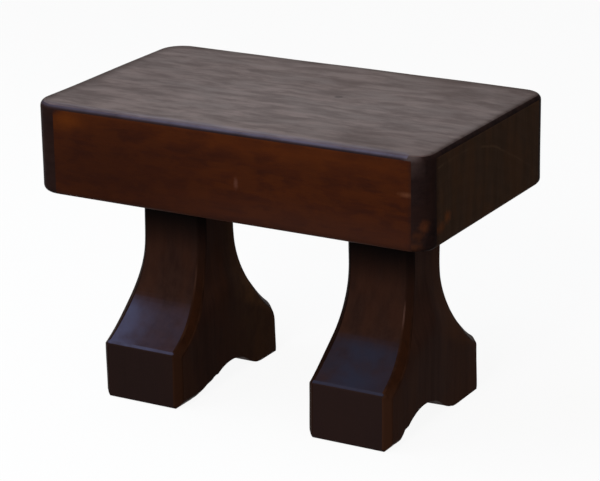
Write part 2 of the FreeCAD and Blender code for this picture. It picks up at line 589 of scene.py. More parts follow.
# How three kinds of marks on the seat look: painted shade, knocks and smears
PAINTED_SHADE = {"softness": 1.6, "raggedness": 0.1, "grit": 20.0}
KNOCK = {"share": 0.5, "softness": 2.0, "raggedness": 1.7, "grit": 260.0}
SMEAR = {"softness": 1.8, "raggedness": 1.4, "grit": 160.0}


@dataclass
class SeatSlab:
    """The one-piece seat, with rounded upright corners and softened rims.

    Attributes:
        top_tilt: How far up a face has to look to belong to the top.
        side_tilt: How far out a face has to look to belong to a long side or an end.
        side_play: How far such a face may look up or round a corner.
        sheen_tilt: How far up a face has to look to show the painted sheen, a painted reflection along the
            top's front edge.
        sheen_tilt_fade: How much further up it shows all of it.
        sheen_left_share: How strong the painted sheen is at the seat's left end.
        sheen_growth: The seat's length over the stretch in which the painted sheen grows to its whole.
    """

    node: str = "seat_slab"
    left_corner_radius: float = 0.027
    right_corner_radius: float = 0.020
    rim_radius: float = 0.006
    corner_segments: int = 14
    rim_segments: int = 6
    mesh_step: float = 0.006
    edge_step: float = 0.0015
    wave_depth: float = 0.0007
    wavelength: float = 0.09
    wave_seed: float = 3.1
    top_tilt: float = 0.88
    side_tilt: float = 0.6
    side_play: float = 0.2
    sheen_tilt: float = 0.45
    sheen_tilt_fade: float = 0.3
    sheen_left_share: float = 0.45
    sheen_growth: float = 2.2

    TOP, FACE, END, RIM = range(4)

    def __post_init__(self) -> None:
        """Reads the seat's box from the frame."""
        self.low, self.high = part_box(self.node)

    def top_finish(self) -> TimberFinish:
        """Describes the dull grey-brown top, dark along its edges, with painted shade and less gloss towards
        its corners and its back, and a painted sheen near its front edge.

        Returns:
            The finish.
        """
        left, front, _ = self.low
        right, back, top = self.high
        dark_edge_and_shade = shade(44, 31, 28)
        edges = (
            ((left - 0.010, 0.0, top), (0.020, EVERYWHERE, EVERYWHERE)),
            ((right + 0.0105, 0.0, top), (0.015, EVERYWHERE, EVERYWHERE)),
            ((0.0, back + 0.011, top), (EVERYWHERE, 0.020, EVERYWHERE)),
        )
        # Painted shade, with less gloss, towards the corners and the back
        corners = (
            ((0.100, back + 0.063, top), (0.260, 0.150, EVERYWHERE), shade(58, 38, 28), 0.30, 0.46),
            ((left, 0.080, top), (0.110, 0.110, EVERYWHERE), dark_edge_and_shade, 0.12, 0.32),
            ((left + 0.010, front + 0.037, top), (0.100, 0.110, EVERYWHERE), dark_edge_and_shade, 0.12, 0.38),
            ((right - 0.010, front + 0.007, top), (0.120, 0.080, EVERYWHERE), dark_edge_and_shade, 0.20, 0.42),
            ((right + 0.020, back - 0.017, top), (0.090, 0.100, EVERYWHERE), dark_edge_and_shade, 0.20, 0.40),
        )
        marks = [
            Mark(*edge, dark_edge_and_shade, softness=1.1, raggedness=0.5, grit=40.0, dulling=1.0)
            for edge in edges
        ]
        for place, reach, colour, share, dulling in corners:
            marks.append(Mark(place, reach, colour, share=share, dulling=dulling, **PAINTED_SHADE))
        marks.append(
            Mark((0.0428, 0.0189, top), (0.004, 0.0035, 0.004), shade(44, 32, 30), share=0.8, dulling=0.5)
        )
        return TimberFinish(
            "seat_top_wax", Grain.ALONG_SEAT, shade(86, 68, 65), shade(46, 33, 31), shade(60, 45, 43),
            patch_share=0.6, patch_fit=(18.0, 40.0), streak_fit=(20.0, 74.0), streak_share=0.6, sway=0.010,
            ring_gap=0.012, ring_share=0.12, gloss=0.190, gloss_wander=0.45, roughness=0.46,
            painted_sheen_share=0.2, marks=tuple(marks),
        )

    def face_finish(self) -> TimberFinish:
        """Describes the red long sides, with pale and dark patches, painted shade low at the left and along
        the bottom at the right, two scratches and a dark right edge.

        Returns:
            The finish.
        """
        left, front, under = self.low
        right, _, top = self.high
        marks = (
            Mark(
                (left + 0.044, front, top - 0.013), (0.040, 0.010, 0.010), shade(76, 36, 12),
                share=0.4, softness=1.6, raggedness=0.8, grit=90.0,
            ),
            # Painted shade: darker low at the left, and along the bottom at the right
            Mark(
                (left + 0.090, front, under + 0.026), (0.090, 0.010, 0.040), shade(38, 17, 11),
                share=0.55, **PAINTED_SHADE,
            ),
            Mark(
                (right - 0.100, front, under), (0.140, 0.010, 0.024), shade(56, 33, 27),
                share=0.5, **PAINTED_SHADE,
            ),
            Mark(
                (0.080, front, top - 0.012), (0.100, 0.010, 0.009), shade(86, 41, 15),
                share=0.35, softness=1.8, raggedness=1.6, grit=50.0,
            ),
            Mark(
                (left + 0.041, front, top - 0.013), (0.013, 0.010, 0.007), shade(92, 45, 13),
                share=0.6, softness=1.9, raggedness=0.9, grit=120.0,
            ),
            Mark(
                (left + 0.024, front, top), (0.012, 0.010, 0.008), shade(34, 20, 18),
                softness=0.8, raggedness=0.4, grit=90.0,
            ),
            Mark(
                (right - 0.0185, front, top - 0.0356), (0.007, 0.004, 0.002), shade(104, 64, 44),
                share=0.6, softness=1.8, raggedness=1.2, grit=300.0,
            ),
            Mark(
                (0.0159, front, top - 0.0492), (0.0018, 0.003, 0.0044), shade(96, 62, 52),
                share=0.5, softness=1.6,
            ),
            Mark(
                (right - 0.010, front + 0.003, under + 0.041), (0.006, EVERYWHERE, EVERYWHERE),
                shade(34, 24, 22), share=0.8, softness=1.4, raggedness=0.7, grit=200.0,
            ),
        )
        return TimberFinish(
            "seat_face_stain", Grain.ALONG_SEAT, shade(60, 27, 13), shade(44, 20, 13), shade(70, 33, 13),
            patch_share=0.5, patch_fit=(40.0, 90.0), streak_fit=(22.0, 170.0), streak_share=0.65, sway=0.006,
            ring_gap=0.012, ring_share=0.25, gloss=0.02, roughness=0.5, marks=marks,
        )

    def end_finish(self) -> TimberFinish:
        """Describes the brown end grain, with one pale ring, a dark front edge and two knocks beside it.

        Returns:
            The finish.
        """
        _, front, under = self.low
        right = self.high.x
        marks = (
            Mark(
                (right, front + 0.019, under + 0.041), (0.003, 0.005, EVERYWHERE), shade(40, 26, 20),
                share=0.7, **SMEAR,
            ),
            Mark(
                (right, front + 0.0410, under + 0.0251), (0.003, 0.0050, 0.0046), shade(124, 68, 32), **KNOCK
            ),
            Mark(
                (right, front + 0.0285, under + 0.0185), (0.003, 0.0075, 0.0040), shade(110, 62, 34), **KNOCK
            ),
        )
        return TimberFinish(
            "seat_end_grain", Grain.ALONG_SEAT, shade(66, 49, 38), shade(52, 38, 29), shade(74, 50, 34),
            patch_share=0.5, patch_fit=(26.0, 40.0), streaks=Grain.UPRIGHT, streak_fit=(14.0, 120.0),
            streak_share=0.4, ring_gap=0.013, ring_share=0.2, pale_ring=0.302, worn=shade(94, 72, 54),
            gloss=0.003, roughness=0.6, marks=marks,
        )

    def rim_finish(self) -> TimberFinish:
        """Describes the dark rims, with a painted sheen along the top's front edge, and knocks and smears at
        the front right corner.

        Returns:
            The finish.
        """
        _, front, under = self.low
        right, _, top = self.high
        knocks = (
            ((right - 0.0055, front + 0.0072, under + 0.0245), (0.0036, 0.004, 0.0042), shade(96, 52, 28)),
            ((right - 0.0100, front + 0.0035, under + 0.0162), (0.0050, 0.004, 0.0040), shade(74, 42, 26)),
            ((right - 0.0135, front + 0.0015, under + 0.0060), (0.0080, 0.004, 0.0044), shade(78, 44, 26)),
        )
        smears = (
            ((right - 0.014, front + 0.003, top - 0.009), (0.008, 0.005, 0.0085), shade(64, 50, 48), 0.6),
            ((right - 0.017, front + 0.003, top - 0.0015), (0.006, 0.006, 0.004), shade(90, 80, 80), 0.4),
        )
        marks = [Mark(*knock, **KNOCK) for knock in knocks] + [Mark(*smear, **SMEAR) for smear in smears]
        # The sheen here is a painted reflection along the top's front edge
        return TimberFinish(
            "seat_rim_dark", Grain.ALONG_SEAT, shade(37, 26, 25), shade(26, 18, 18), shade(44, 28, 24),
            patch_share=0.5, ring_share=0.1, gloss=0.002, roughness=0.34,
            painted_sheen=shade(92, 88, 106), painted_sheen_share=0.8, marks=tuple(marks),
        )

    def finishes(self) -> list[bpy.types.Material]:
        """Makes the materials of the TOP, FACE, END and RIM faces."""
        finishes = (self.top_finish(), self.face_finish(), self.end_finish(), self.rim_finish())
        return [finish.material() for finish in finishes]

    def block(self) -> Blank:
        """Shapes the slab and numbers its faces by finish.

        Returns:
            The shaped block.
        """
        blank = Blank()
        size = self.high - self.low
        middle = Matrix.Translation((self.low + self.high) / 2)
        bmesh.ops.create_cube(blank.mesh, size=1.0, matrix=middle @ Matrix.Diagonal((*size, 1.0)))
        for radius, side in ((self.left_corner_radius, -1), (self.right_corner_radius, 1)):
            uprights = [
                edge
                for edge in blank.mesh.edges
                if near(abs(edge.verts[0].co.z - edge.verts[1].co.z), size.z)
                and edge.verts[0].co.x * side > 0
            ]
            blank.round_edges(uprights, radius, self.corner_segments)
        rims = [edge for edge in blank.mesh.edges if near(edge.verts[0].co.z, edge.verts[1].co.z)]
        blank.round_edges(rims, self.rim_radius, self.rim_segments)
        blank.mesh.normal_update()
        for face in blank.mesh.faces:
            face.material_index = self.slot(face.normal)
        blank.rule(self.low, self.high, self.rim_radius + self.edge_step, self.mesh_step)
        return blank

    def slot(self, normal: Vector) -> int:
        """Picks a face's finish. The sides keep most of the rounding below them.

        Args:
            normal: The way the face looks.

        Returns:
            The number of its finish.
        """
        side = normal.z < self.side_play
        if normal.z > self.top_tilt:
            return self.TOP
        if near(normal.z, -1):
            return self.FACE
        if side and abs(normal.y) > self.side_tilt and -TOLERANCE < normal.x < self.side_play:
            return self.FACE
        if side and abs(normal.x) > self.side_tilt and near(normal.y, 0):
            return self.END
        return self.RIM

    def paint(self, mesh: bmesh.types.BMesh) -> None:
        """Marks the painted sheen, a painted reflection along the top's front edge.

        Args:
            mesh: The seat's mesh.
        """
        mesh.normal_update()
        painted_sheen = mesh.verts.layers.float.new("painted_sheen")
        back = self.low.y + 2 * self.rim_radius
        right = self.high.x - self.right_corner_radius
        for vert in mesh.verts:
            if vert.co.y < back and vert.co.x < right:
                turned = clamp((vert.normal.z - self.sheen_tilt) / self.sheen_tilt_fade)
                along = (vert.co.x - self.low.x) / (self.high.x - self.low.x)
                grown = clamp(along * self.sheen_growth)
                vert[painted_sheen] = turned * (self.sheen_left_share + (1 - self.sheen_left_share) * grown)

    def build(self) -> bpy.types.Object:
        """Builds the seat.

        Returns:
            The finished piece.
        """
        flat = self.low.z + HELD_MARGIN
        blank = self.block()
        blank.roughen(self.wave_depth, self.wavelength, self.wave_seed, lambda point: point.z < flat)
        self.paint(blank.mesh)
        piece = blank.into_piece("seat", self.finishes())
        seat_piece(piece, self.node)
        return piece


class Pen:
    """Draws a side outline, one stretch after the other, in a plane of constant X."""

    def __init__(self, mesh: bmesh.types.BMesh, start: Vector) -> None:
        """Sets the pen down.

        Args:
            mesh: The mesh to draw in.
            start: Where the outline starts.
        """
        self.mesh = mesh
        self.first = mesh.verts.new(start)
        self.tip = self.first

    def line(self, end: Vector) -> None:
        """Draws a straight stretch.

        Args:
            end: The point where it ends.
        """
        made = bmesh.ops.extrude_vert_indiv(self.mesh, verts=[self.tip])
        self.tip = made["verts"][0]
        self.tip.co = end

    def arc(self, centre: Vector, angle: float, steps: int) -> None:
        """Draws an arc.

        Args:
            centre: The middle of its circle.
            angle: How far it turns about X, in radians.
            steps: How many chords it has.
        """
        made = bmesh.ops.spin(
            self.mesh,
            geom=[self.tip],
            cent=centre,
            axis=(1, 0, 0),
            dvec=(0, 0, 0),
            angle=angle,
            steps=steps,
            use_merge=False,
            use_duplicate=False,
        )
        self.tip = next(item for item in made["geom_last"] if isinstance(item, bmesh.types.BMVert))

    def close(self) -> bmesh.types.BMFace:
        """Closes the outline and fills it.

        Returns:
            The face inside the outline.
        """
        self.mesh.edges.new((self.tip, self.first))
        made = bmesh.ops.contextual_create(self.mesh, geom=self.mesh.edges[:])
        return made["faces"][0]


@dataclass(frozen=True)
class Arch:
    """The arch under a leg, sawn by hand: a round crown that runs out into the sole in two curves.

    Attributes:
        rise: The height of its crown.
        set_forward: How far its middle is forward of the leg's.
        front_radius: The radius of the curve at its front end.
        back_radius: The radius of the curve at its back end.
        crown_radius: The radius of its crown.
    """

    rise: float
    set_forward: float
    front_radius: float
    back_radius: float
    crown_radius: float = 0.058

    def end(self, radius: float) -> tuple[float, float]:
        """Finds one end of the arch.

        Args:
            radius: The radius of its curve.

        Returns:
            How far from the arch's middle it meets the sole, and how far the curve turns.
        """
        fall = radius - (self.rise - self.crown_radius)
        reach = math.sqrt((self.crown_radius + radius) ** 2 - fall**2)
        return reach, math.atan2(reach, fall)


@dataclass
class PedestalLeg:
    """One leg: a foot block, a waist hollowed on all four sides, a straight neck and an arch below.

    Attributes:
        side: The side that it stands on.
        arch: The arch under it.
        foot_back_height: The height of the foot's back, up to the waist.
        shoulder_radius: How far the back of the foot's top is worn round.
        painted_sheen: The colour of the painted sheen on its waist, a painted reflection.
        sheen_peak: Where the painted sheen is strongest, from -1 at the left cheek to 1 at the right.
        sheen_base: How strong it is away from there, as a share.
        edge_highlight: The colour of the painted highlight on the rounded edge of the foot's front.
        foot_stain: The colour of the foot's front.
        corner_stain: The colour of the foot's corners.
        painted_glint: How strong the painted highlight on the arris of the waist is, as a share.
        painted_light: The colour of the painted light on the back of each cheek.
        sole_wear_end: How far forward of the leg's middle the worn sides of the front sole end.
        wave_seed: A shift that makes this leg's waves its own.
        sole_wear_fade: The length over which the worn sides of the front sole narrow towards their end.
        sole_wear_least: The share of their width that they narrow to.
        cheek_line_height: How high the planed part of a cheek starts, at the foot's front and back.
        cheek_line_tilt: How steeply the line where it starts rises from there.
        cheek_draw_length: How far above that line the cheek reaches the neck's width.
        cheek_bend_share: The lower curve's share of the two curves' radii together.
        turned_away: How far back or down a face has to look to get the cheek's finish.
        edge_tilts: Between which two tilts the rounding of the foot's front gets the painted highlight.
        sheen_tilt: How far up a face has to look to show the painted sheen.
        sheen_tilt_fade: How much further up it shows all of it.
        sheen_width: How far the painted sheen reaches to both sides of its peak, in half widths of the foot.
        painted_light_start: How much painted light the middle of a cheek gets, before easing.
        painted_light_slope: How much that grows from there to the foot's back.
        painted_light_foot_share: How much the foot below the planed part gets, as a share of that.
        painted_light_fade: The distance over which the planed part gets all of it.
    """

    side: Side
    arch: Arch
    foot_back_height: float
    shoulder_radius: float
    painted_sheen: Colour
    sheen_peak: float
    sheen_base: float
    edge_highlight: Colour
    foot_stain: Colour
    corner_stain: Colour
    painted_light: Colour
    painted_glint: float
    sole_wear_end: float
    wave_seed: float
    foot_front_height: float = 0.057
    neck_width: float = 0.070
    neck_depth: float = 0.064
    neck_height: float = 0.054
    cheek_chamfer: float = 0.0065
    arris_radius: float = 0.0012
    foot_front_radius: float = 0.0035
    heel_radius: float = 0.011
    sole_wear_fade: float = 0.018
    sole_wear_least: float = 0.42
    cheek_line_height: float = 0.046
    cheek_line_tilt: float = math.atan(0.466)
    cheek_draw_length: float = 0.056
    cheek_bend_share: float = 0.3
    waist_steps: int = 28
    back_steps: int = 24
    shoulder_steps: int = 9
    crown_steps: int = 20
    arch_end_steps: int = 8
    foot_segments: int = 5
    heel_segments: int = 6
    arris_segments: int = 2
    mesh_step: float = 0.004
    wave_depth: float = 0.0008
    wavelength: float = 0.05
    turned_away: float = 0.05
    edge_tilts: tuple[float, float] = (0.45, 0.85)
    sheen_tilt: float = 0.55
    sheen_tilt_fade: float = 0.14
    sheen_width: float = 1.2
    painted_light_start: float = 0.1
    painted_light_slope: float = 1.6
    painted_light_foot_share: float = 0.35
    painted_light_fade: float = 0.008

    FRONT, CHEEK, CHAMFER, ARRIS, EDGE = range(5)

    def __post_init__(self) -> None:
        """Reads the leg's place and outer sizes from the frame."""
        self.node = self.side.value + "_leg"
        low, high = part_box(self.node)
        self.low, self.high = low, high
        self.middle = (low.x + high.x) / 2
        self.middle_y = (low.y + high.y) / 2
        self.half_width = (high.x - low.x) / 2
        self.half_foot = (high.y - low.y) / 2
        self.waist_top = high.z - self.neck_height

    def waist(self, foot_height: float) -> tuple[float, float]:
        """Finds the round of the waist above the foot's front or back.

        Args:
            foot_height: The foot's height there.

        Returns:
            Its radius, and how far it turns.
        """
        step = self.half_foot - self.neck_depth / 2
        climb = self.waist_top - foot_height
        return (step**2 + climb**2) / (2 * step), 2 * math.atan2(step, climb)

    def outline(self, mesh: bmesh.types.BMesh) -> bmesh.types.BMFace:
        """Draws the leg from the side, in the plane of its left cheek.

        Args:
            mesh: The mesh to draw in.

        Returns:
            The filled outline.
        """
        half_neck = self.neck_depth / 2
        front_radius, waist_turn = self.waist(self.foot_front_height)
        back_radius, _ = self.waist(self.foot_back_height)
        front_y = half_neck + front_radius
        back_y = half_neck + back_radius

        def at(y: float, z: float) -> Vector:
            """Returns a point of the outline."""
            return Vector((self.low.x, self.middle_y + y, z))

        shoulder_y = self.half_foot - self.shoulder_radius
        both_radii = back_radius + self.shoulder_radius
        shoulder_z = self.waist_top - math.sqrt(both_radii**2 - (back_y - shoulder_y) ** 2)
        shoulder_turn = math.atan2(self.waist_top - shoulder_z, back_y - shoulder_y)
        arch_y = -self.arch.set_forward
        arch_z = self.arch.rise - self.arch.crown_radius
        front_reach, front_turn = self.arch.end(self.arch.front_radius)
        back_reach, back_turn = self.arch.end(self.arch.back_radius)

        pen = Pen(mesh, at(-self.half_foot, 0))
        pen.line(at(-self.half_foot, self.foot_front_height))
        pen.arc(at(-front_y, self.waist_top), waist_turn, self.waist_steps)
        pen.line(at(-half_neck, self.high.z))
        pen.line(at(half_neck, self.high.z))
        pen.line(at(half_neck, self.waist_top))
        pen.arc(at(back_y, self.waist_top), shoulder_turn, self.back_steps)
        pen.arc(at(shoulder_y, shoulder_z), -shoulder_turn, self.shoulder_steps)
        pen.line(at(self.half_foot, 0))
        pen.line(at(arch_y + back_reach, 0))
        pen.arc(at(arch_y + back_reach, self.arch.back_radius), -back_turn, self.arch_end_steps)
        pen.arc(at(arch_y, arch_z), back_turn + front_turn, self.crown_steps)
        pen.arc(at(arch_y - front_reach, self.arch.front_radius), -front_turn, self.arch_end_steps)
        return pen.close()

    def above_cheek_line(self, point: Vector) -> float:
        """Tells how far a point lies above the line where the planed part of its cheek starts.

        Args:
            point: The point.

        Returns:
            The distance, below 0 under the line.
        """
        rise = point.z - self.cheek_line_height
        run = self.half_foot - abs(point.y - self.middle_y)
        return rise * math.cos(self.cheek_line_tilt) - run * math.sin(self.cheek_line_tilt)

    def drawn_in(self, point: Vector) -> float:
        """Tells how far the cheek is drawn in at a point.

        Each cheek is planed from the front and from the back, above two lines that rise to its middle.

        Args:
            point: The point.

        Returns:
            The distance from the foot's upright cheek.
        """
        above = clamp(self.above_cheek_line(point), 0.0, self.cheek_draw_length)
        draw = self.half_width - self.neck_width / 2
        turn = 2 * math.atan2(draw, self.cheek_draw_length)
        radii = self.cheek_draw_length / math.sin(turn)
        lower = radii * self.cheek_bend_share
        upper = radii - lower
        if above < lower * math.sin(turn):
            return lower - math.sqrt(lower**2 - above**2)
        return draw - upper + math.sqrt(upper**2 - (self.cheek_draw_length - above) ** 2)

    def saw(self, mesh: bmesh.types.BMesh) -> None:
        """Saws the side outline through a board as thick as the foot is wide.

        Args:
            mesh: The mesh to shape the board in.
        """
        made = bmesh.ops.extrude_face_region(mesh, geom=[self.outline(mesh)])
        moved = [item for item in made["geom"] if isinstance(item, bmesh.types.BMVert)]
        bmesh.ops.translate(mesh, vec=Vector((2 * self.half_width, 0, 0)), verts=moved)
        bmesh.ops.recalc_face_normals(mesh, faces=mesh.faces)

    def chamfer_cheeks(self, blank: Blank) -> None:
        """Planes off the edges round both cheeks, and numbers the FRONT, CHEEK and CHAMFER faces.

        Args:
            blank: The sawn board.
        """

        def on_cheek_edge(edge: bmesh.types.BMEdge) -> bool:
            """Tells whether an edge runs round a cheek, above the sole and the arch or along the worn sole.

            Args:
                edge: The edge.

            Returns:
                Whether it does.
            """
            first, last = (vert.co for vert in edge.verts)
            top = near(first.z, self.high.z) and near(last.z, self.high.z)
            below = max(first.z, last.z) < self.arch.rise + TOLERANCE
            worn = max(first.y, last.y) < self.middle_y - self.sole_wear_end
            return near(first.x, last.x) and not top and (worn or not below)

        mesh = blank.mesh
        chamfers = blank.round_edges([e for e in mesh.edges if on_cheek_edge(e)], self.cheek_chamfer, 1)
        self.fade_sole_wear(chamfers)
        for face in mesh.faces:
            face.material_index = self.FRONT
        for face in chamfers:
            face.material_index = self.CHAMFER
        mesh.normal_update()
        for face in mesh.faces:
            hidden = face.normal.y > self.turned_away or face.normal.z < -self.turned_away
            if near(abs(face.normal.x), 1) or (hidden and face.material_index == self.FRONT):
                face.material_index = self.CHEEK

    def fade_sole_wear(self, chamfers: list[bmesh.types.BMFace]) -> None:
        """Narrows the worn sides of the front sole towards their end under the arch.

        Args:
            chamfers: The faces of the chamfer round both cheeks.
        """
        stop = self.middle_y - self.sole_wear_end
        for edge in {edge for face in chamfers for edge in face.edges}:
            inner, outer = sorted(edge.verts, key=lambda vert: abs(vert.co.x - self.middle))
            if near(inner.co.x, outer.co.x) or inner.co.z > self.arch.rise or inner.co.y > stop + TOLERANCE:
                continue
            kept = clamp((stop - inner.co.y) / self.sole_wear_fade, self.sole_wear_least)
            cheek_x = outer.co.x
            outer.co = inner.co.lerp(outer.co, kept)
            outer.co.x = cheek_x
            inner.co.x = cheek_x + (inner.co.x - cheek_x) * kept

    def round_foot(self, blank: Blank) -> None:
        """Rounds the foot's front and heel, and numbers the EDGE faces.

        Args:
            blank: The leg with its cheeks chamfered.
        """
        mesh = blank.mesh

        def across_foot(y: float, *heights: float) -> list[bmesh.types.BMEdge]:
            """Finds the edges that run across the foot.

            Args:
                y: Their place in depth, from the leg's middle.
                *heights: Their heights.

            Returns:
                The edges.
            """
            return [
                edge
                for edge in mesh.edges
                if any(
                    all(near(vert.co.y, self.middle_y + y) and near(vert.co.z, z) for vert in edge.verts)
                    for z in heights
                )
            ]

        fronts = across_foot(-self.half_foot, 0, self.foot_front_height)
        mesh.normal_update()
        least, most = self.edge_tilts
        for face in blank.round_edges(fronts, self.foot_front_radius, self.foot_segments):
            face.normal_update()
            # The rounding's upper faces get the painted highlight
            if least < face.normal.z < most and face.material_index == self.FRONT:
                face.material_index = self.EDGE
        blank.round_edges(across_foot(self.half_foot, 0), self.heel_radius, self.heel_segments)

    def round_arrises(self, blank: Blank) -> None:
        """Rounds the arrises of the chamfers slightly, and numbers the ARRIS faces.

        Args:
            blank: The leg with its foot rounded.
        """

        def on_arris(edge: bmesh.types.BMEdge) -> bool:
            """Tells whether an edge borders a chamfer, but for its two ends.

            Args:
                edge: The edge.

            Returns:
                Whether it does.
            """
            slots = {face.material_index for face in edge.link_faces}
            level = any(all(near(vert.co.z, z) for vert in edge.verts) for z in (0, self.high.z))
            return self.CHAMFER in slots and len(slots) == 2 and self.ARRIS not in slots and not level

        arrises = [edge for edge in blank.mesh.edges if on_arris(edge)]
        for face in blank.round_edges(arrises, self.arris_radius, self.arris_segments):
            face.material_index = self.ARRIS

    def block(self) -> Blank:
        """Shapes the leg and numbers its faces by finish.

        Returns:
            The shaped block.
        """
        blank = Blank()
        self.saw(blank.mesh)
        self.chamfer_cheeks(blank)
        self.round_foot(blank)
        self.round_arrises(blank)
        blank.rule(self.low, self.high, self.mesh_step, self.mesh_step)
        for vert in blank.mesh.verts:
            share = 1 - self.drawn_in(vert.co) / self.half_width
            vert.co.x = self.middle + (vert.co.x - self.middle) * share
        return blank

    def band(self, height: float, reach: float, colour: Colour, **look: float) -> Mark:
        """Makes a strong mark that runs level round the leg."""
        levels = (EVERYWHERE, EVERYWHERE, reach)
        return Mark((0.0, 0.0, height), levels, colour, share=0.85, grit=60.0, **look)

    def painted_seat_shadow(self) -> Mark:
        """Makes the painted shadow of the seat: a dark band on the neck's top."""
        return self.band(self.high.z, 0.050, shade(15, 15, 16), softness=1.0, raggedness=0.1)

    def edge_marks(self) -> tuple[Mark, ...]:
        """Makes the marks that the chamfers and their arrises share, with the painted shadow of the seat and
        painted shade along the left edges.

        Returns:
            The marks.
        """
        neck = self.band(self.high.z, 0.086, shade(43, 27, 22), softness=0.9, raggedness=0.2)
        corner = self.band(0.0, self.foot_front_height, self.corner_stain, softness=0.3, raggedness=0.3)
        # Painted shade: darker chamfers along each leg's left edges
        painted_left_shade = Mark(
            (self.low.x, self.low.y, 0.0), (0.024, 0.120, EVERYWHERE), shade(18, 11, 10),
            share=0.6, softness=0.7, raggedness=0.2, grit=60.0,
        )
        return neck, corner, self.painted_seat_shadow(), painted_left_shade

    def finish(self, part: str, *colours: Colour, **look: Any) -> TimberFinish:
        """Describes one of the leg's finishes, all cut from the same log.

        Args:
            part: The part's name and what its finish is called.
            *colours: The palest wood, the darkest streaks and the patches.
            **look: Any of the finish's other settings.

        Returns:
            The finish.
        """
        pith = (self.middle + 0.05, 0.16, 0.0)
        return TimberFinish(f"leg_{part}_{self.side.value}", Grain.UPRIGHT, *colours, pith=pith, **look)

    def front_finish(self) -> TimberFinish:
        """Describes the front and the waist, with a painted sheen on the waist and the painted shadow of the
        seat on the neck.

        Returns:
            The finish.
        """
        foot = self.band(0.0, self.foot_front_height, self.foot_stain, softness=0.08, raggedness=0.02)
        return self.finish(
            "front_stain", shade(50, 32, 26), shade(38, 23, 19), shade(58, 34, 24),
            patch_share=0.5, streak_fit=(7.0, 170.0), streak_share=0.55, ring_share=0.15,
            gloss=0.008, roughness=0.36, painted_sheen=self.painted_sheen, painted_sheen_share=1.0, marks=(self.painted_seat_shadow(), foot),
        )

    def cheek_finish(self) -> TimberFinish:
        """Describes the cheeks, with painted light towards their backs and on their planed part."""
        return self.finish(
            "cheek_stain", shade(57, 37, 30), shade(42, 26, 22), shade(66, 40, 28),
            patch_share=0.5, streak_fit=(9.0, 120.0), streak_share=0.45, ring_share=0.12,
            gloss=0.003, roughness=0.42, worn=self.painted_light, painted_light_share=0.85,
        )

    def chamfer_finish(self) -> TimberFinish:
        """Describes the chamfers round the cheeks."""
        return self.finish(
            "chamfer_stain", shade(46, 24, 13), shade(36, 19, 11), shade(52, 27, 14),
            patch_share=0.5, ring_share=0.1, gloss=0.004, roughness=0.4, marks=self.edge_marks(),
        )

    def arris_finish(self) -> TimberFinish:
        """Describes the worn arrises of the chamfers, with a painted highlight on one.

        Returns:
            The finish.
        """
        # Painted highlight on the arris of the waist
        painted_glint = Mark(
            (self.middle + 0.028, -0.044, 0.114), (0.004, 0.020, 0.011), shade(92, 66, 58),
            share=self.painted_glint, softness=1.2, raggedness=0.6, grit=200.0,
        )
        return self.finish(
            "arris_rubbed", shade(44, 25, 17), shade(34, 20, 14), shade(60, 36, 24),
            patch_share=0.6, patch_fit=(40.0, 60.0), ring_share=0.0, gloss=0.004, roughness=0.4,
            marks=(*self.edge_marks(), painted_glint),
        )

    def edge_finish(self) -> TimberFinish:
        """Describes the painted highlight on the rounded edge of the foot's front."""
        return self.finish(
            "edge_painted_highlight", self.edge_highlight, self.painted_sheen, self.edge_highlight,
            patch_share=0.3, streak_share=0.6, ring_share=0.0, gloss=0.02, roughness=0.36,
        )

    def finishes(self) -> list[bpy.types.Material]:
        """Makes the leg's five finishes.

        Returns:
            The materials of the FRONT, CHEEK, CHAMFER, ARRIS and EDGE faces.
        """
        finishes = (
            self.front_finish(),
            self.cheek_finish(),
            self.chamfer_finish(),
            self.arris_finish(),
            self.edge_finish(),
        )
        return [finish.material() for finish in finishes]

    def paint(self, mesh: bmesh.types.BMesh) -> None:
        """Marks the painted sheen on the faces that look up, and the painted light on the back and the planed
        part of each cheek.

        Args:
            mesh: The leg's mesh.
        """
        mesh.normal_update()
        painted_sheen = mesh.verts.layers.float.new("painted_sheen")
        painted_light_share = mesh.verts.layers.float.new("painted_light_share")
        for vert in mesh.verts:
            # Painted reflection: the sheen on faces that look up, strongest at its peak
            lift = smooth((vert.normal.z - self.sheen_tilt) / self.sheen_tilt_fade)
            across = (vert.co.x - self.middle) / self.half_width
            peak = smooth(1 - abs(across - self.sheen_peak) / self.sheen_width)
            vert[painted_sheen] = lift * (self.sheen_base + (1 - self.sheen_base) * peak)
            # Painted light: lighter towards each cheek's back and on its planed part
            back = (vert.co.y - self.middle_y) / self.half_foot
            planed = smooth(self.above_cheek_line(vert.co) / self.painted_light_fade + 1)
            painted_light = self.painted_light_foot_share + (1 - self.painted_light_foot_share) * planed
            vert[painted_light_share] = smooth(back * self.painted_light_slope + self.painted_light_start) * painted_light

    def build(self) -> bpy.types.Object:
        """Builds the leg.

        Returns:
            The finished piece.
        """

        def held(point: Vector) -> bool:
            """Keeps the joint and the soles flat."""
            return point.z > self.high.z - HELD_MARGIN or point.z < HELD_MARGIN

        blank = self.block()
        blank.roughen(self.wave_depth, self.wavelength, self.wave_seed, held)
        self.paint(blank.mesh)
        piece = blank.into_piece(self.side.value + "_pedestal", self.finishes())
        seat_piece(piece, self.node)
        return piece


@dataclass
class Dowels:
    """The bare dowels that hold the legs to the seat, kept as the frame holds them."""

    nodes: tuple[str, ...] = ("left_leg_dowels", "right_leg_dowels")

    def dress(self) -> None:
        """Gives the dowels their finish."""
        finish = TimberFinish(
            "dowel_bare_wood", Grain.UPRIGHT, shade(206, 172, 124), shade(176, 138, 92), shade(198, 158, 110),
            pith=(0.3, 0.2, 0.0), ring_gap=0.002, gloss=0.3, roughness=0.65,
        ).material()
        for name in self.nodes:
            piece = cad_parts[name]
            piece.data.materials.clear()
            piece.data.materials.append(finish)
            report.info("%s: dressed", name)


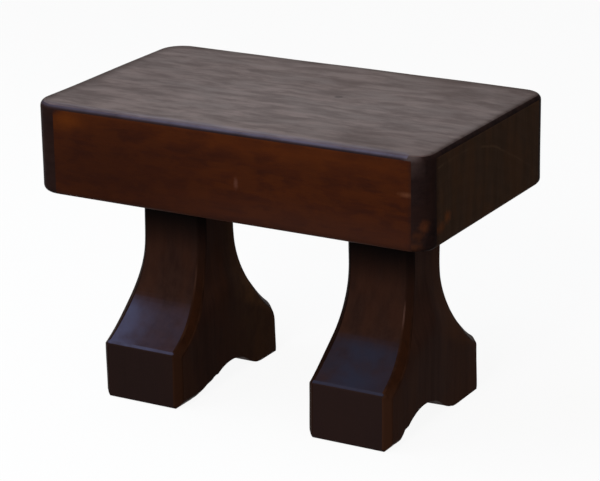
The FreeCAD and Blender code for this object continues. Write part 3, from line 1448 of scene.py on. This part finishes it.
@dataclass
class Studio:
    """The pale floor, the soft lights and the camera."""

    floor_radius: float = 9.0
    floor_segments: int = 96
    floor_gap: float = 0.0002
    floor_colour: Colour = (0.95, 0.95, 0.95)
    floor_bounce: Colour = (0.17, 0.155, 0.15)
    floor_glow: float = 0.92
    white: Colour = (1.0, 1.0, 1.0)
    cool_light: Colour = (0.84, 0.91, 1.0)
    warm_light: Colour = (1.0, 0.96, 0.92)
    room_strength: float = 0.22
    focal_pixels: float = 2594.0
    frame_pixels: float = 600.0
    sensor_width: float = 36.0
    azimuth: float = math.radians(29.9)
    elevation: float = math.radians(18.46)
    roll: float = math.radians(-0.88)
    target: Triple = (0.0094, 0.0, 0.1555)
    distance: float = 2.489

    def floor(self) -> None:
        """Lays the floor, pale and shadowed from above, and left out of sight when seen from below."""
        mesh = bmesh.new()
        drop = Matrix.Translation((0, 0, -self.floor_gap))
        bmesh.ops.create_circle(
            mesh, cap_ends=True, segments=self.floor_segments, radius=self.floor_radius, matrix=drop
        )
        data = bpy.data.meshes.new("floor")
        mesh.to_mesh(data)
        mesh.free()
        data.materials.append(self.paper())
        floor = bpy.data.objects.new("floor", data)
        bpy.context.scene.collection.objects.link(floor)

    def paper(self) -> bpy.types.Material:
        """Makes the floor's paper, which looks pale but throws little light back.

        Returns:
            The material.
        """
        bench = Bench(bpy.data.materials.new("floor_paper"))
        seen = bench.backdrop_rays()
        lit = bench.node("BsdfDiffuse", {"Color": bench.blend(seen, self.floor_bounce, self.floor_colour)})
        pale = bench.node("Emission", {"Color": self.white, "Strength": 1.0})
        glow = bench.math("MULTIPLY", seen, self.floor_glow)
        both = bench.node("MixShader", {0: glow, 1: lit.outputs[0], 2: pale.outputs[0]})
        from_below = bench.node("NewGeometry", {}).outputs["Backfacing"]
        from_camera = bench.node("LightPath", {}).outputs["Is Camera Ray"]
        hidden = bench.math("MULTIPLY", from_below, from_camera)
        clear = bench.node("BsdfTransparent", {})
        whole = bench.node("MixShader", {0: hidden, 1: both.outputs[0], 2: clear.outputs[0]})
        bench.node("OutputMaterial", {"Surface": whole.outputs[0]})
        return bench.owner

    def room(self) -> None:
        """Makes the room: an even soft light, and a pale backdrop that the camera and the gloss see."""
        world = bpy.data.worlds.new("room")
        bench = Bench(world)
        limits = {"Value": bench.backdrop_rays(), "To Min": self.room_strength, "To Max": 1.0}
        strength = bench.node("MapRange", limits).outputs["Result"]
        background = bench.node("Background", {"Color": self.white, "Strength": strength})
        bench.node("OutputWorld", {"Surface": background.outputs["Background"]})
        bpy.context.scene.world = world

    def light(self, name: str, place: Vector, size: float, power: float, colour: Colour) -> None:
        """Hangs a soft square light that points at the stool.

        Args:
            name: The light's name.
            place: Where it hangs.
            size: The length of its side.
            power: Its power in watts.
            colour: Its colour.
        """
        data = bpy.data.lights.new(name, "AREA")
        data.shape = "SQUARE"
        data.size = size
        data.energy = power
        data.color = colour
        lamp = bpy.data.objects.new(name, data)
        lamp.location = place
        aim = Vector(self.target) - place
        lamp.rotation_mode = "QUATERNION"
        lamp.rotation_quaternion = aim.to_track_quat("-Z", "Y")
        bpy.context.scene.collection.objects.link(lamp)

    def lights(self) -> None:
        """Hangs the lights: a wide cool window above, a warm one in front and a weak one at the right."""
        self.light("window", Vector((-1.1, -0.55, 2.0)), size=1.8, power=34.0, colour=self.cool_light)
        self.light("front_fill", Vector((0.25, -3.1, 1.95)), size=1.1, power=66.0, colour=self.warm_light)
        self.light("side_fill", Vector((2.7, -1.2, 0.95)), size=1.6, power=6.5, colour=self.warm_light)

    def camera(self) -> None:
        """Sets the camera where the photograph was taken from."""
        back = Vector(
            (
                math.sin(self.azimuth) * math.cos(self.elevation),
                -math.cos(self.azimuth) * math.cos(self.elevation),
                math.sin(self.elevation),
            )
        )
        level = Vector((math.cos(self.azimuth), math.sin(self.azimuth), 0))
        upward = back.cross(level)
        right = level * math.cos(self.roll) + upward * math.sin(self.roll)
        above = upward * math.cos(self.roll) - level * math.sin(self.roll)
        data = bpy.data.cameras.new("camera")
        data.sensor_width = self.sensor_width
        data.lens = self.focal_pixels / self.frame_pixels * self.sensor_width
        camera = bpy.data.objects.new("camera", data)
        camera.matrix_world = Matrix.Translation(Vector(self.target) + back * self.distance) @ Matrix(
            (right, above, back)
        ).transposed().to_4x4()
        bpy.context.scene.collection.objects.link(camera)
        bpy.context.scene.camera = camera

    def build(self) -> None:
        """Sets up everything round the stool."""
        bpy.context.scene.view_settings.view_transform = "Standard"
        self.camera()
        self.floor()
        self.room()
        self.lights()


def main() -> None:
    """Builds the studio and the stool, and reports each piece."""
    logging.basicConfig(level=logging.INFO, format="%(message)s")
    Studio().build()
    SeatSlab().build()
    PedestalLeg(
        Side.LEFT, Arch(0.0195, -0.001, 0.060, 0.045),
        foot_back_height=0.048, shoulder_radius=0.030,
        painted_sheen=shade(70, 71, 95), sheen_peak=-0.95, sheen_base=0.25, edge_highlight=shade(60, 57, 74),
        foot_stain=shade(35, 25, 24), corner_stain=shade(47, 28, 19), painted_light=shade(102, 70, 45), painted_glint=0.2,
        sole_wear_end=0.022, wave_seed=5.7,
    ).build()
    PedestalLeg(
        Side.RIGHT, Arch(0.024, 0.023, 0.012, 0.050),
        foot_back_height=0.052, shoulder_radius=0.010,
        painted_sheen=shade(42, 42, 56), sheen_peak=0.0, sheen_base=0.45, edge_highlight=shade(46, 44, 58),
        foot_stain=shade(39, 28, 27), corner_stain=shade(60, 37, 26), painted_light=shade(74, 45, 28), painted_glint=0.7,
        sole_wear_end=0.056, wave_seed=8.3,
    ).build()
    Dowels().dress()


if __name__ == "__main__":
    main()
